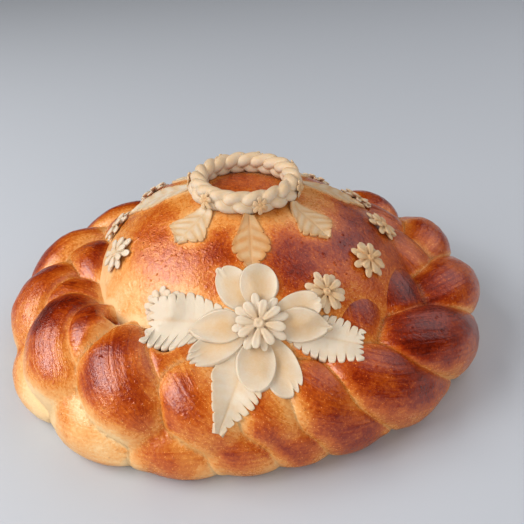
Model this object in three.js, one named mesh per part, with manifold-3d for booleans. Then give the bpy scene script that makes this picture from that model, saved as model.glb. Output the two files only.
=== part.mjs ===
// Wedding loaf: a glazed domed loaf inside a fat three-strand plait, dressed with pale dough:
// a small plaited wreath on the crown, leaves and blossoms, and a large flower on the front.
// Millimetres, +Z up, front towards -Y. The origin is the centre of the flat underside.
import * as THREE from "three";
import { mergeVertices } from "three/addons/utils/BufferGeometryUtils.js";
import Module from "manifold-3d";

const wasm = await Module();
wasm.setup();

const TURN = 2 * Math.PI;
const radians = (degrees) => (degrees * Math.PI) / 180;

// Driving dimensions. Angles run in degrees from +X towards +Y, so the front is at 270.
const CLEARANCE = 0.4; // between pieces that lie on each other

const DOME = {
  centre: new THREE.Vector2(1.6, 1.9),
  height: 101,
  radius: 109, // where the curve would reach the table
  roundness: 2.1,
  shoulder: 0.44,
  lean: 0.048, // the right side baked a little lower
  slump: 9, // and the skirt sank to the right of the crown
  skirt: 102, // widest ring, hidden behind the plait
  foot: 70, // flat underside, inside the plait
};

// A plait's strands swing from side to side and pass over and under each other. Lobes that lie
// closer at one side of the ring are crowded towards that angle, and some have drifted along it.
const PLAIT = {
  centre: new THREE.Vector2(0, -0.86),
  radius: 104,
  oval: { share: 0.07, angle: 15 },
  height: 29,
  roll: 0, // how far the plait is turned about its own length
  waves: 16 / 3,
  start: 42,
  sway: 22.5,
  rise: 10.5,
  bank: 0.35, // the inner side leans up against the dome
  // but sank below the outer lobes on one side and a little on the other
  sunk: [
    { share: 3.4, angle: 212, width: 32 },
    { share: 0.9, angle: 350, width: 16 },
  ],
  lead: { phase: 50, angle: 222, width: 40 }, // there the outer lobes rise before the middle
  thickness: 18.5,
  spread: 1.45, // how much wider than high the lobes grew, pressed against each other
  fold: { share: 1, phase: 78, length: 36, angle: 222, width: 42 }, // strands pinched at the edge
  foot: { height: 22, closing: 7, slope: 0.2 }, // lobes spread on the tray and closed their gaps
  swell: { share: 0.16, angle: 228, width: 20 }, // one side rose higher in the oven
  rush: 0.18, // how much faster a strand crosses the middle than it turns at an edge
  crowding: { angle: 280, width: 46.6, amount: 28 },
  drift: { angle: 15, width: 60, amount: 8 },
  core: 10,
  melt: 3, // how far two strands have baked together at a seam
  steps: 128,
  sides: 15,
  twist: 0.2, // how fast the mesh turns round with the section, so that its lines follow the seams
};

const WREATH = {
  centre: DOME.centre,
  radius: 28.6,
  oval: { share: 0, angle: 0 },
  height: 104.9,
  roll: -75,
  waves: 6,
  start: 0,
  sway: 3.4,
  rise: 2.2,
  bank: 0,
  sunk: [],
  lead: { phase: 0, angle: 0, width: 20 },
  thickness: 3.2,
  spread: 1,
  fold: { share: 0, phase: 0, length: 20, angle: 0, width: 20 },
  swell: { share: 0, angle: 0, width: 20 },
  rush: 0.18,
  crowding: { angle: 280, width: 40, amount: 0 },
  drift: { angle: 0, width: 60, amount: 0 },
  core: 2,
  melt: 0.3,
  steps: 96,
  sides: 8,
  twist: 0.2,
};

const CROWN_LEAF = { thickness: 1.5, widest: 0.42 };
const CROWN_LEAF_ANGLES = [170, 229, 272, 322.5, 21, 58, 98, 136];
const CROWN_LEAF_STARTS = [34, 33, 31.8, 31.5, 36.5, 34, 34, 34]; // from the middle of the crown
const CROWN_LEAF_LENGTHS = [46, 27, 37, 29, 45, 38, 38, 36];
const CROWN_LEAF_WIDTHS = [26, 27, 22, 27, 25, 24, 24, 24];
const CROWN_LEAF_TURNS = [0, 0, 0, -7, -12, 0, 0, 0]; // from pointing straight down the slope

const MINI = { radius: 5, thickness: 1.6, petals: 5, angles: [174, 229, 284, 338, 30, 75, 120] };
const MINI_TILT = 40; // degrees up from facing straight out

const DAISY = { radius: 13, thickness: 2.2, petals: 7 };
const DAISY_ANGLES = [173, 200, 237, 299, 328, 2, 30, 57, 86, 115, 144];
const DAISY_REACHES = [86, 83, 88, 81, 78, 81, 81, 81, 81, 81, 81];

const FLOWER = { reach: 88, angle: 272 };
const FLOWER_HEART = { radius: 16.5, thickness: 3, petals: 8 };
const PETAL_THICKNESS = 2;
// Directions are counted in the flower's own face, from its right side towards its top.
const LOWER_PETALS = [
  { name: "north_west", direction: 121, length: 35, width: 17 },
  { name: "north_east", direction: 18, length: 34, width: 17 },
  { name: "south_west", direction: 205, length: 41, width: 16 },
  { name: "south_east", direction: 292, length: 40, width: 19 },
];
const UPPER_PETALS = [
  { name: "north", direction: 88, length: 31, width: 18 },
  { name: "west", direction: 182, length: 36, width: 16.5 },
  { name: "east", direction: 355, length: 37, width: 18 },
  { name: "south", direction: 263, length: 34, width: 19 },
];
const FLOWER_LEAF = { thickness: 1.8, from: 14, teeth: 7, cut: 2.6 };
const FLOWER_LEAVES = [
  { name: "left", direction: 175, length: 59, width: 30, base: 0.4, widest: 0.6, tip: 0.75 },
  { name: "right", direction: 346, length: 56, width: 24, base: 0.4, widest: 0.55, tip: 0.6 },
  { name: "below", direction: 247, length: 58, width: 28, base: 0.5, widest: 0.3, tip: 0.1 },
];

// Shared helpers

// Leaves only the positions, merged and without collapsed triangles, as a solid needs them.
function weld(geometry) {
  geometry.deleteAttribute("normal");
  geometry.deleteAttribute("uv");
  const merged = mergeVertices(geometry, 1e-4);
  const kept = [];
  for (let i = 0; i < merged.index.count; i += 3) {
    const [a, b, c] = [0, 1, 2].map((corner) => merged.index.getX(i + corner));
    if (a !== b && b !== c && c !== a) kept.push(a, b, c);
  }
  merged.setIndex(kept);
  return merged;
}

function toSolid(geometry) {
  return new wasm.Manifold(
    new wasm.Mesh({
      numProp: 3,
      vertProperties: geometry.attributes.position.array,
      triVerts: new Uint32Array(geometry.index.array),
    }),
  );
}

function toGeometry(solid) {
  const mesh = solid.getMesh();
  const geometry = new THREE.BufferGeometry();
  geometry.setAttribute("position", new THREE.BufferAttribute(mesh.vertProperties, 3));
  geometry.setIndex(new THREE.BufferAttribute(mesh.triVerts, 1));
  return geometry;
}

// The largest body of a solid, without loose scraps.
function largestBody(solid) {
  return solid.decompose().sort((a, b) => b.volume() - a.volume())[0];
}

// Dome

function domeHeight(reach) {
  return DOME.height * (1 - (reach / DOME.radius) ** DOME.roundness) ** DOME.shoulder;
}

// A point of the dome, from its place round the upright form, after it leaned and slumped.
function domePoint(x, y, z) {
  return new THREE.Vector3(
    DOME.centre.x + x + DOME.slump * (1 - z / DOME.height),
    DOME.centre.y + y,
    z * (1 - (DOME.lean * x) / DOME.height),
  );
}

// The dome, or a slightly larger one, which is the room that it takes.
function domeGeometry(scale = 1) {
  const rings = 12;
  const profile = [new THREE.Vector2(0, 0), new THREE.Vector2(DOME.foot, 0)];
  for (let i = rings; i >= 0; i--) {
    const reach = DOME.skirt * Math.sin((i / rings) * (Math.PI / 2));
    profile.push(new THREE.Vector2(reach, domeHeight(reach)));
  }
  const lathe = new THREE.LatheGeometry(profile, 56);
  lathe.rotateX(Math.PI / 2);
  const position = lathe.attributes.position;
  for (let i = 0; i < position.count; i++) {
    const point = domePoint(
      scale * position.getX(i),
      scale * position.getY(i),
      scale * position.getZ(i),
    );
    position.setXYZ(i, point.x, point.y, point.z);
  }
  return weld(lathe);
}

// Plaits

// How far round a plait the middle of its strands lies from its centre.
function plaitReach(plait, round) {
  const { share, angle } = plait.oval;
  return plait.radius * (1 + share * Math.cos(2 * (round - radians(angle))));
}

// How many degrees an angle lies past another, the shorter way round.
function angleBetween(degrees, angle) {
  const past = degrees - angle;
  return past - 360 * Math.round(past / 360);
}

// Where in degrees round the ring a place along the plait comes to lie, and how far its lobes are
// apart there, as a share of the mean.
function crowded({ crowding: { angle, width, amount }, drift }, away) {
  const spread = 1 + amount / 180;
  const squeeze = Math.tanh(away / width);
  const degrees = angle + spread * away - amount * squeeze;
  const slid = drift.amount * Math.exp(-((angleBetween(degrees, drift.angle) / drift.width) ** 4));
  return {
    degrees: degrees + slid,
    pitch: spread - (amount / width) * (1 - squeeze * squeeze),
  };
}

// 1 at an angle round the loaf, falling off to 0 over a width.
function nearness(degrees, { angle, width }) {
  return Math.exp(-((angleBetween(degrees, angle) / width) ** 2));
}

// How much of its radius a strand loses at a place along it, because it folds under there.
function foldLoss({ fold }, phase, degrees) {
  const turns = phase / TURN - fold.phase / 360;
  const away = 360 * Math.abs(turns - Math.round(turns));
  const roundedEnd = Math.sqrt(Math.min(away / fold.length, 1));
  return fold.share * nearness(degrees, fold) * (1 - roundedEnd);
}

// A place along and beside a direction, turned by an angle.
function turned(along, side, degrees) {
  const [cosine, sine] = [Math.cos(radians(degrees)), Math.sin(radians(degrees))];
  return [along * cosine - side * sine, along * sine + side * cosine];
}

// Points along a strand's middle, with the strand's radius there.
function strandPath(plait, index) {
  const points = [];
  const count = Math.round(plait.waves * 60);
  for (let i = 0; i < count; i++) {
    const away = -180 + (360 * i) / count;
    const { degrees, pitch } = crowded(plait, away);
    const phase = radians(plait.waves * (plait.crowding.angle + away) + plait.start + index * 120);
    const eased = phase + plait.rush * Math.sin(2 * phase);
    const swell = plait.swell.share * nearness(degrees, plait.swell);
    const side = plait.sway * Math.sin(eased);
    const sunkShare = plait.sunk.reduce((sum, sunk) => sum + sunk.share * nearness(degrees, sunk), 0);
    const sunk = side < 0 ? sunkShare : 0;
    const lead = radians(plait.lead.phase) * nearness(degrees, plait.lead);
    const lift =
      plait.rise * Math.sin(2 * eased + lead) -
      plait.bank * (1 - sunk) * side +
      plait.thickness * swell;
    const [out, up] = turned(side, lift, plait.roll);
    const reach = plaitReach(plait, radians(degrees)) + out;
    points.push({
      middle: new THREE.Vector3(
        plait.centre.x + reach * Math.cos(radians(degrees)),
        plait.centre.y + reach * Math.sin(radians(degrees)),
        plait.height + up,
      ),
      radius:
        plait.thickness * pitch ** 0.2 * (1 + swell) * (1 - foldLoss(plait, phase, degrees)),
    });
  }
  return points;
}

// How far a strand reaches from a point along a direction, on this side of the ring. Its lobes
// are drawn out along the ring by the spread.
function strandReach(path, from, direction, alongRing, { sway, spread }) {
  const near = 2 * sway;
  let furthest = 0;
  const towards = new THREE.Vector3();
  for (const { middle, radius } of path) {
    towards.subVectors(middle, from);
    if (towards.length() > near) continue;
    const along = towards.dot(direction);
    const drawnOut = (1 - spread ** -2) * towards.dot(alongRing) ** 2;
    const room = radius ** 2 - towards.lengthSq() + along * along + drawnOut;
    if (room > 0) furthest = Math.max(furthest, along + Math.sqrt(room));
  }
  return furthest;
}

// The larger of two lengths, rounded off where they are nearly equal.
function softMax(a, b, melt) {
  const share = Math.max(melt - Math.abs(a - b), 0) / melt;
  return Math.max(a, b) + (share * share * melt) / 4;
}

// A plaited ring: a torus pushed out to the strands, seen from the middle of the plait, and
// flattened where it would sink into the floor under it.
function plaitGeometry(plait, floor) {
  const ring = new THREE.TorusGeometry(plait.radius, plait.core, plait.sides, plait.steps);
  const paths = [0, 1, 2].map((index) => strandPath(plait, index));
  const position = ring.attributes.position;
  const uv = ring.attributes.uv;
  const from = new THREE.Vector3();
  const direction = new THREE.Vector3();
  const alongRing = new THREE.Vector3();
  for (let i = 0; i < position.count; i++) {
    const tilt = (uv.getY(i) % 1) * TURN;
    const fromTop = Math.acos(Math.sin(tilt));
    const away = (uv.getX(i) % 1) * 360 - 180 + (plait.twist * fromTop * 180) / Math.PI;
    const round = radians(crowded(plait, away > 180 ? away - 360 : away).degrees);
    const reach = plaitReach(plait, round);
    from.set(
      plait.centre.x + reach * Math.cos(round),
      plait.centre.y + reach * Math.sin(round),
      plait.height,
    );
    direction.set(
      Math.cos(tilt) * Math.cos(round),
      Math.cos(tilt) * Math.sin(round),
      Math.sin(tilt),
    );
    alongRing.set(-Math.sin(round), Math.cos(round), 0);
    const furthest = paths
      .map((path) => strandReach(path, from, direction, alongRing, plait))
      .reduce((a, b) => softMax(a, b, plait.melt), plait.core);
    const point = from.addScaledVector(direction, furthest);
    position.setXYZ(i, point.x, point.y, Math.max(point.z, floor(point)));
  }
  if (plait.foot) spreadFoot(position, plait);
  return weld(ring);
}

// Pushes the low outer side of a plait out, until it closes most of the gaps between its lobes.
function spreadFoot(position, { radius, steps, foot: { height, closing, slope } }) {
  const reachOf = (i) => Math.hypot(position.getX(i), position.getY(i));
  const reaches = Array.from({ length: position.count }, (_, i) => reachOf(i));
  reaches.forEach((reach, i) => {
    const column = i % (steps + 1);
    let filled = reach;
    for (let step = -closing; step <= closing; step++) {
      const beside = i - column + ((column + step + steps) % steps);
      filled = Math.max(filled, reaches[beside] - slope * step * step);
    }
    const low = 1 - THREE.MathUtils.smoothstep(position.getZ(i), 0, height);
    const outer = THREE.MathUtils.smoothstep(reach, radius, radius + 12);
    const scale = 1 + low * outer * (filled / reach - 1);
    position.setXY(i, position.getX(i) * scale, position.getY(i) * scale);
  });
}

// Laying thin pieces on what is under them

const raycaster = new THREE.Raycaster();
const laid = []; // the pieces so far, which later pieces lie on

// A spot on the loaf that faces out at an angle and up by a rise, with directions across it and
// up its slope.
function spotAt(point, degrees, rise) {
  const out = new THREE.Vector3(Math.cos(radians(degrees)), Math.sin(radians(degrees)), 0);
  const top = new THREE.Vector3(0, 0, 1);
  const normal = out.clone().multiplyScalar(Math.cos(rise)).addScaledVector(top, Math.sin(rise));
  const across = top.clone().cross(out);
  return { point, across, up: normal.clone().cross(across), normal };
}

function spotOnDome(reach, degrees) {
  const step = 0.5;
  const slope = (domeHeight(reach + step) - domeHeight(reach - step)) / (2 * step);
  const [x, y] = [reach * Math.cos(radians(degrees)), reach * Math.sin(radians(degrees))];
  return spotAt(domePoint(x, y, domeHeight(reach)), degrees, Math.atan2(1, -slope));
}

function spotOnWreath(degrees) {
  const reach = WREATH.radius + WREATH.rise + WREATH.thickness;
  const [x, y] = [reach * Math.cos(radians(degrees)), reach * Math.sin(radians(degrees))];
  const point = new THREE.Vector3(WREATH.centre.x + x, WREATH.centre.y + y, WREATH.height);
  return spotAt(point, degrees, radians(MINI_TILT));
}

function spotPoint(spot, [across, up], out) {
  return spot.point
    .clone()
    .addScaledVector(spot.across, across)
    .addScaledVector(spot.up, up)
    .addScaledVector(spot.normal, out);
}

// The triangles near a spot of the pieces laid so far, as one mesh.
function laidNear(spot, span) {
  const points = [];
  for (const { geometry } of laid) {
    const corners = geometry.index.array;
    for (let i = 0; i < corners.length; i += 3) {
      const triangle = [0, 1, 2].map((k) =>
        new THREE.Vector3().fromBufferAttribute(geometry.attributes.position, corners[i + k]),
      );
      if (triangle.some((corner) => corner.distanceTo(spot.point) < span)) points.push(...triangle);
    }
  }
  return new THREE.Mesh(new THREE.BufferGeometry().setFromPoints(points));
}

// How far a mesh stands out at a place beside a spot.
function heightAt(mesh, spot, place) {
  const above = 100;
  raycaster.set(spotPoint(spot, place, above), spot.normal.clone().negate());
  const hit = raycaster.intersectObject(mesh)[0];
  return hit ? above - hit.distance : -above;
}

// A closed thin solid between matching grids of points on its top and its underside.
// A round one closes on itself along its columns, and its first row is its middle.
function sheetGeometry(top, under, round) {
  const triangles = [];
  const quad = (a, b, c, d) => triangles.push(a, b, c, a, c, d);
  const rows = top.length - 1;
  const columns = top[0].length - 1;
  for (let r = 0; r < rows; r++) {
    for (let c = 0; c < columns; c++) {
      quad(top[r][c], top[r + 1][c], top[r + 1][c + 1], top[r][c + 1]);
      const [a, b, d, e] = [under[r][c], under[r + 1][c], under[r + 1][c + 1], under[r][c + 1]];
      triangles.push(a, d, b, a, e, d);
    }
  }
  for (let c = 0; c < columns; c++) {
    quad(under[rows][c], under[rows][c + 1], top[rows][c + 1], top[rows][c]);
    if (!round) quad(under[0][c + 1], under[0][c], top[0][c], top[0][c + 1]);
  }
  for (let r = 0; r < rows && !round; r++) {
    quad(under[r][0], under[r + 1][0], top[r + 1][0], top[r][0]);
    quad(under[r + 1][columns], under[r][columns], top[r][columns], top[r + 1][columns]);
  }
  const geometry = new THREE.BufferGeometry().setFromPoints(triangles);
  return weld(geometry);
}

// Lays a sheet on a spot. Its outline gives each grid place, and its thickness and lift what it
// measures there. Stiff dough bridges hollows, so each place is raised towards its neighbours,
// and then as far as a cell's corners must go to clear what stands out within the cell.
function layGeometry(spot, { rows, columns, outline, thickness, lift, round = false }) {
  const places = [];
  for (let r = 0; r <= rows; r++) {
    places.push([]);
    for (let c = 0; c <= columns; c++) places[r].push(outline(r / rows, c / columns, r, c));
  }
  const span = Math.max(...places.flat().map(([across, up]) => Math.hypot(across, up))) + 20;
  const base = laidNear(spot, span);
  let heights = places.map((row) => row.map((place) => heightAt(base, spot, place)));
  const wrap = (c) => (round ? (c + columns) % columns : c);
  const around = (r, c) =>
    [[r - 1, c], [r + 1, c], [r, wrap(c - 1)], [r, wrap(c + 1)]].filter(
      ([i, j]) => i >= 0 && i <= rows && j >= 0 && j <= columns,
    );
  for (let pass = 0; pass < 4; pass++) {
    heights = heights.map((row, r) =>
      row.map((height, c) => {
        const near = around(r, c).map(([i, j]) => heights[i][j]);
        return Math.max(height, near.reduce((a, b) => a + b, 0) / near.length);
      }),
    );
  }
  const shares = Array.from({ length: 8 }, (_, i) => i / 7);
  for (let r = 0; r < rows; r++) {
    for (let c = 0; c < columns; c++) {
      const corners = [[r, c], [r + 1, c], [r, c + 1], [r + 1, c + 1]];
      let short = 0;
      for (const down of shares) {
        for (const along of shares) {
          const weights = [
            (1 - down) * (1 - along),
            down * (1 - along),
            (1 - down) * along,
            down * along,
          ];
          const blend = (value) =>
            corners.reduce((sum, [i, j], k) => sum + weights[k] * value(i, j), 0);
          const place = [0, 1].map((axis) => blend((i, j) => places[i][j][axis]));
          short = Math.max(short, heightAt(base, spot, place) - blend((i, j) => heights[i][j]));
        }
      }
      for (const [i, j] of corners) heights[i][j] += short;
    }
  }
  if (round) {
    heights[0].fill(Math.max(...heights[0]));
    for (const row of heights) row[0] = row[columns] = Math.max(row[0], row[columns]);
  }
  const under = places.map((row, r) =>
    row.map((place, c) =>
      spotPoint(spot, place, heights[r][c] + CLEARANCE + lift(r / rows, c / columns)),
    ),
  );
  const top = under.map((row, r) =>
    row.map((point, c) =>
      point.clone().addScaledVector(spot.normal, thickness(r / rows, c / columns, r, c)),
    ),
  );
  return sheetGeometry(top, under, round);
}

// Leaves and petals

// A place on a blade that runs from a start along a direction, at a share of its length and width.
function bladePlace(direction, start, length, halfWidth, t, side) {
  return turned(start + length * t, side * halfWidth, direction);
}

function petalGeometry(spot, { direction, length, width }) {
  const from = 6;
  const spread = (t) => 0.3 + 0.7 * Math.sin(Math.PI * (0.12 + 0.76 * t ** 1.25)) ** 0.8;
  return layGeometry(spot, {
    rows: 5,
    columns: 4,
    outline: (t, c) => {
      const side = 2 * c - 1;
      const tip = 1 - 0.16 * side * side * t;
      return bladePlace(direction, from, (length - from) * tip, (width / 2) * spread(t), t, side);
    },
    thickness: (t, c) => PETAL_THICKNESS * (0.75 + 0.25 * Math.sin(Math.PI * c)),
    lift: (t, c) => 1.2 * t * (2 * c - 1) ** 2,
  });
}

function crownLeafGeometry(spot, length, width, turn) {
  const { widest } = CROWN_LEAF;
  const half = (t) =>
    (width / 2) *
    (t < widest
      ? 0.25 + 0.75 * Math.sin((Math.PI / 2) * (t / widest))
      : 1 - 0.92 * ((t - widest) / (1 - widest)) ** 1.4);
  return layGeometry(spot, {
    rows: 6,
    columns: 4,
    outline: (t, c, row) => {
      const side = 2 * c - 1;
      const tooth = Math.abs(side) === 1 && row % 2 === 1 ? 0.9 : 1;
      return bladePlace(270 + turn, -length / 2, length, half(t) * tooth, t, side);
    },
    thickness: (t, c) => CROWN_LEAF.thickness * (0.8 + 0.2 * Math.sin(Math.PI * c)),
    lift: (t, c) => 0.5 * t * Math.abs(2 * c - 1),
  });
}

// Share of a flower leaf's width at a share of its length.
function flowerLeafSpread(t, { base, widest, tip }) {
  return t < widest
    ? base + (1 - base) * Math.sin((Math.PI / 2) * (t / widest))
    : 1 - (1 - tip) * ((t - widest) / (1 - widest)) ** 1.3;
}

// A leaf with combed edges: deep narrow cuts along both sides.
function flowerLeafGeometry(spot, leaf) {
  const { direction, length, width } = leaf;
  return layGeometry(spot, {
    rows: 2 * FLOWER_LEAF.teeth,
    columns: 4,
    outline: (t, c, row) => {
      const side = 2 * c - 1;
      const cut = Math.abs(side) === 1 && row % 2 === 1 ? FLOWER_LEAF.cut : 0;
      const spread = (width / 2) * flowerLeafSpread(t, leaf);
      const half = Math.max(spread - cut, 0.6 * spread);
      return bladePlace(direction, FLOWER_LEAF.from, length - FLOWER_LEAF.from, half, t, side);
    },
    thickness: (t, c) => FLOWER_LEAF.thickness * (0.8 + 0.2 * Math.sin(Math.PI * c)),
    lift: (t, c) => 0.6 * (2 * c - 1) ** 2,
  });
}

// A blossom with two layers of narrow petals: the upper ones lie over the gaps of the lower ones.
function blossomGeometry(spot, { radius, thickness, petals }, layers = 2) {
  const span = layers === 2 ? 4 : 2;
  const tip = (c) => (c % span === 0 ? 0.88 : 1);
  return layGeometry(spot, {
    rows: 2,
    columns: span * petals,
    round: true,
    outline: (t, share, r, c) => {
      const reach = c % 2 === 1 ? 0.55 : tip(c);
      const out = radius * [0, 0.34, reach][r];
      return [out * Math.cos(share * TURN), out * Math.sin(share * TURN)];
    },
    thickness: (t, share, r, c) =>
      thickness * [1.25, 1.35, c % 2 === 1 ? 0.7 : c % span === 0 ? 1 : 0.6][r],
    lift: () => 0,
  });
}

// Pieces

const crust = new THREE.MeshStandardMaterial({ color: 0xb5642a, roughness: 0.35, metalness: 0 });
const paleDough = new THREE.MeshStandardMaterial({ color: 0xecd3ae, roughness: 0.6, metalness: 0 });

const loaf = new THREE.Group();
function add(name, geometry, material) {
  const mesh = new THREE.Mesh(geometry, material);
  mesh.name = name;
  loaf.add(mesh);
  laid.push(mesh);
}

add("dome", domeGeometry(), crust);
const domeRoom = toSolid(domeGeometry(1 + CLEARANCE / 80));
const bareRing = toSolid(plaitGeometry(PLAIT, () => 0));
add("plait_ring", toGeometry(largestBody(bareRing.subtract(domeRoom))), crust);
const crown = spotAt(domePoint(0, 0, DOME.height), 270, Math.PI / 2);
const crownMesh = laidNear(crown, 2 * WREATH.radius);
const crownFloor = ({ x, y }) => {
  const place = [x - crown.point.x, y - crown.point.y];
  return crown.point.z + heightAt(crownMesh, crown, place) + CLEARANCE;
};
add("crown_wreath", plaitGeometry(WREATH, crownFloor), paleDough);

CROWN_LEAF_ANGLES.forEach((angle, i) => {
  const length = CROWN_LEAF_LENGTHS[i];
  const spot = spotOnDome(CROWN_LEAF_STARTS[i] + length / 2, angle);
  const leaf = crownLeafGeometry(spot, length, CROWN_LEAF_WIDTHS[i], CROWN_LEAF_TURNS[i]);
  add(`crown_leaf_${i + 1}`, leaf, paleDough);
});
MINI.angles.forEach((angle, i) => {
  add(`mini_blossom_${i + 1}`, blossomGeometry(spotOnWreath(angle), MINI, 1), paleDough);
});
DAISY_ANGLES.forEach((angle, i) => {
  const spot = spotOnDome(DAISY_REACHES[i], angle);
  add(`daisy_${i + 1}`, blossomGeometry(spot, DAISY), paleDough);
});

const flower = spotOnDome(FLOWER.reach, FLOWER.angle);
for (const leaf of FLOWER_LEAVES) {
  add(`flower_leaf_${leaf.name}`, flowerLeafGeometry(flower, leaf), paleDough);
}
for (const petal of [...LOWER_PETALS, ...UPPER_PETALS]) {
  add(`flower_petal_${petal.name}`, petalGeometry(flower, petal), paleDough);
}
add("flower_heart", blossomGeometry(flower, FLOWER_HEART), paleDough);

export default loaf;
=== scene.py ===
"""Wedding loaf: a glazed dome inside a fat plaited ring, dressed with pale dough leaves,
blossoms, a large flower and a small plaited wreath.

Sizes are in millimetres in the loaf's own frame, +Z up and the front towards -Y. Angles run in
degrees from +X towards +Y, so the front is at 270. Finished meshes are in metres.
"""

import math

import bpy
import numpy as np
from mathutils import Matrix, Vector, noise
from mathutils.bvhtree import BVHTree


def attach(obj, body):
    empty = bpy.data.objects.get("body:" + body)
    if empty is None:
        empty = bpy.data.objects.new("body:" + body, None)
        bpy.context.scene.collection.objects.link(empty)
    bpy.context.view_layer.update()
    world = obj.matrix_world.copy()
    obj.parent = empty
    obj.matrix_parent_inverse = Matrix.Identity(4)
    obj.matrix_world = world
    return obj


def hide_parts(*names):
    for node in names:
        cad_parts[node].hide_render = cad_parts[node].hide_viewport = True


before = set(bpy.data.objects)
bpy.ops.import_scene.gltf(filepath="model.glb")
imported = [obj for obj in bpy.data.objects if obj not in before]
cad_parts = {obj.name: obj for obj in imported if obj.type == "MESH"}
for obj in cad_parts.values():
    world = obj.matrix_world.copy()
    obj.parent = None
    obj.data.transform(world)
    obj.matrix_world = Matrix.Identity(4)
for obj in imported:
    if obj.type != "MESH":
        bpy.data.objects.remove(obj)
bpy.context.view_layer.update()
draw = np.random.default_rng(7)


# Dome
# The loaf's middle: rich dough proved into a low dome, brushed with egg and baked brown.
# Its right side baked a little lower, and its skirt sank to the right behind the plait.

MM = 0.001
CLEARANCE = 0.4  # between pieces that lie on each other
DOME_CENTRE = np.array((1.6, 1.9))
DOME_HEIGHT = 101
DOME_RADIUS = 109  # where the curve would reach the table
DOME_ROUNDNESS = 2.1
DOME_SHOULDER = 0.44
DOME_LEAN = 0.048
DOME_SLUMP = 9
DOME_SKIRT = 102  # widest ring, hidden behind the plait
DOME_FOOT = 70  # flat underside
DOME_LUMPS = ((34, 0.63, 1), (11, 0.27, 2), (4, 0.108, 4))  # size, height and seed of its lumps

# How far the crust browned, from 0 to 1, with the flower's painted shadow among it. A change along a
# distance gives its start, its end and its amount. One round an angle gives the angle, its width and its
# amount.
DOME_BAKE = 0.54
DOME_PATCHES = ((26, 0.16, 3),)  # patches that browned more or less: size, amount and seed
CROWN_BROWNED = (26, 12, 0.15)  # browned inside the wreath
HALO_REACH = 38  # paler this far from the crown's middle, round the wreath
HALO_PALE = (9, 0.2)  # over this width, by this amount
FLOWER_SHADOW_AT = (60, 284)  # painted shadow of the flower: darkest this far out, at this angle
FLOWER_SHADOW = (26, 0.14)  # over this width, by this amount
DOME_SIDE = (40, 70)
DOME_SIDE_BROWNED = (345, 70, 0.2)
SKIRT = (74, 97)
SKIRT_PALE = 0.04
SEAMS_PALE = (210, 80)  # round this angle the dough between dome and plait stayed pale
SKIRT_PALER = 0.44  # there


def dome_height(reach):
    return DOME_HEIGHT * (1 - (reach / DOME_RADIUS) ** DOME_ROUNDNESS) ** DOME_SHOULDER


def dome_places(x, y, z):
    """Points of the dome from their places round the upright form, after it leaned and slumped."""
    return np.stack(
        (
            DOME_CENTRE[0] + x + DOME_SLUMP * (1 - z / DOME_HEIGHT),
            DOME_CENTRE[1] + y,
            z * (1 - DOME_LEAN * x / DOME_HEIGHT),
        ),
        axis=-1,
    )


def new_piece(name):
    """Names the object that an operator has just added."""
    piece = bpy.context.object
    piece.name = piece.data.name = name
    return piece


def get_vectors(piece, name):
    vectors = np.empty(len(piece.data.vertices) * 3)
    piece.data.vertices.foreach_get(name, vectors)
    return vectors.reshape(-1, 3)


def get_places(piece):
    return get_vectors(piece, "co")


def get_normals(piece):
    return get_vectors(piece, "normal")


def set_places(piece, places):
    piece.data.vertices.foreach_set("co", np.ascontiguousarray(places).ravel())
    piece.data.update()


SEED_STEP = Vector((13.7, 5.1, 9.3))  # from one seed's lumps to the next one's


def lumps(places, size, seed):
    """Smooth random unevenness from -1 to 1, with lumps of a size in millimetres."""
    return np.array([noise.noise(Vector(place) / size + SEED_STEP * seed) for place in places])


def lumpy(places, layers):
    """Unevenness in layers, each with a size, an amount and a seed."""
    return sum(amount * lumps(places, size, seed) for size, amount, seed in layers)


def ramp(values, start, end, top=1):
    """0 up to the start, top from the end on, smooth between. The end may lie below the start."""
    share = np.clip((values - start) / (end - start), 0, 1)
    return top * share * share * (3 - 2 * share)


def bell(distance, width, top=1):
    """top at no distance, falling off to 0 over a width."""
    return top * np.exp(-((distance / width) ** 2))


def angle_between(degrees, angle):
    return (degrees - angle + 180) % 360 - 180


def nearness(degrees, angle, width, top=1):
    """top at an angle round the loaf, falling off to 0 over a width, both in degrees."""
    return bell(angle_between(degrees, angle), width, top)


def angle_of(places):
    """Where round the loaf places lie, in degrees."""
    return np.degrees(np.arctan2(places[:, 1], places[:, 0]))


def turned(along, side, degrees):
    """Places along and beside a direction, turned by an angle."""
    cosine, sine = math.cos(math.radians(degrees)), math.sin(math.radians(degrees))
    return along * cosine - side * sine, along * sine + side * cosine


def store(piece, name, values):
    """Keeps a number for each vertex, for the material to read."""
    attribute = piece.data.attributes.new(name, "FLOAT", "POINT")
    attribute.data.foreach_set("value", np.asarray(values, dtype=np.float32))


bpy.ops.mesh.primitive_ico_sphere_add(subdivisions=7, radius=1)
dome = new_piece("loaf_dome")
ball = get_places(dome)
reach = DOME_SKIRT * np.minimum(np.hypot(ball[:, 0], ball[:, 1]), 1)
under_skirt = ball[:, 2] < 0
height = np.where(
    under_skirt,
    dome_height(DOME_SKIRT) * np.clip((reach - DOME_FOOT) / (DOME_SKIRT - DOME_FOOT), 0, 1),
    dome_height(reach),
)
round_angle = angle_of(ball)
x, y = reach * np.cos(np.radians(round_angle)), reach * np.sin(np.radians(round_angle))
places = dome_places(x, y, height)
places += ball * (lumpy(places, DOME_LUMPS) * ~under_skirt)[:, None]
set_places(dome, places * MM)
bpy.ops.object.shade_smooth()

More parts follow.
